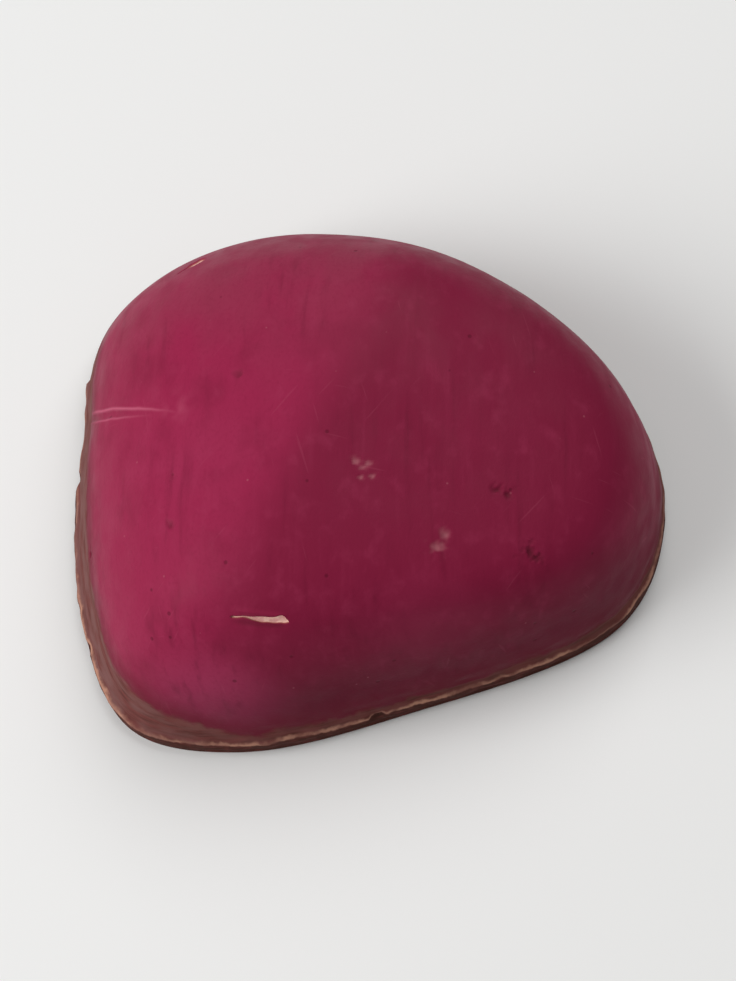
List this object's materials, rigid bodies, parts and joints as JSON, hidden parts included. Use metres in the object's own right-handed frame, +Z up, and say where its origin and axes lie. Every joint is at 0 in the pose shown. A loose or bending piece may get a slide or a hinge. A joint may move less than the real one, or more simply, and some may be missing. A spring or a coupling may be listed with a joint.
{
  "type": "half kola nut",
  "caption": "Half of a kola nut: one thick domed seed leaf with crimson skin, a corky rim and the flat, slightly hollow split face it lies on.",
  "frame": {"origin": "middle of the nut's length and width, on the plane of the split face it lies on", "axes": "+X along the nut's length to its narrower end, +Y across it, +Z up from the split face to the crown of the dome"},
  "size_m": [0.04, 0.036, 0.0155],
  "materials": {
    "skin": "smooth waxy crimson seed skin with a brown corky rim and a pale pink split face"
  },
  "bodies": {
    "root": {"half_kola_nut": "skin"}
  },
  "joints": []
}
